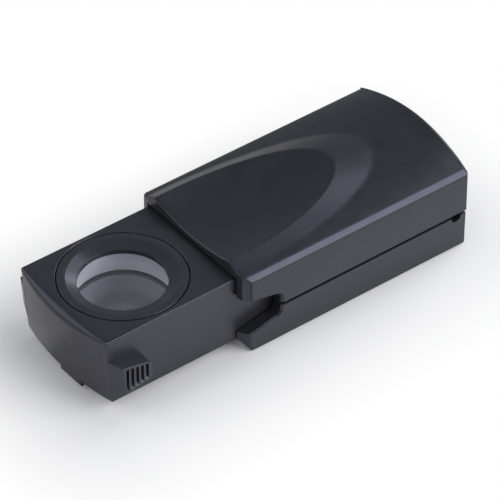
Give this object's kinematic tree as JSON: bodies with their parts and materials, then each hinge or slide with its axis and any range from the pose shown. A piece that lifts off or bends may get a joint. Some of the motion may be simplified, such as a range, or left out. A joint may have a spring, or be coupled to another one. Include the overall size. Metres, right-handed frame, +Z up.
{
  "type": "pocket loupe",
  "caption": "Pocket pull-out loupe: a black two-shell case with a thumb dish, and a sliding drawer that carries a lens pair in a round eyepiece ring and a small lamp.",
  "frame": {"origin": "middle of the case's flat base", "axes": "X along the case with the drawer leaving towards -X, Y across it, Z up out of the base"},
  "size_m": [0.085, 0.033, 0.0217],
  "materials": {
    "case_plastic": "fine moulded grain, charcoal black",
    "drawer_plastic": "fine moulded grain, charcoal black",
    "ring_plastic": "satin, turned look",
    "lens_glass": "polished",
    "spacer_plastic": "smooth pale grey",
    "barrel_plastic": "smooth grey",
    "screw_steel": "plated",
    "lamp_resin": "clear epoxy",
    "lead_metal": "tinned",
    "contact_brass": "pressed sheet",
    "cell_steel": "nickel plated can"
  },
  "bodies": {
    "case": {"case_top": "case_plastic", "case_bottom": "case_plastic"},
    "drawer": {"drawer_body": "drawer_plastic", "eyepiece_ring": "ring_plastic", "upper_lens": "lens_glass", "lens_spacer": "spacer_plastic", "lower_lens": "lens_glass", "light_barrel": "barrel_plastic", "bottom_cover": "drawer_plastic", "cover_screws": "screw_steel", "led": "lamp_resin", "anode_lead": "lead_metal", "cathode_lead": "lead_metal", "positive_contact": "contact_brass", "negative_contact": "contact_brass", "switch_leaf": "contact_brass", "battery_spring": "screw_steel", "button_cell_1": "cell_steel", "button_cell_2": "cell_steel", "button_cell_3": "cell_steel"}
  },
  "joints": [
    {"name": "drawer_slide", "type": "slide", "parent": "case", "child": "drawer", "axis": [-1, 0, 0], "range_m": [-0.0292, 0]}
  ]
}
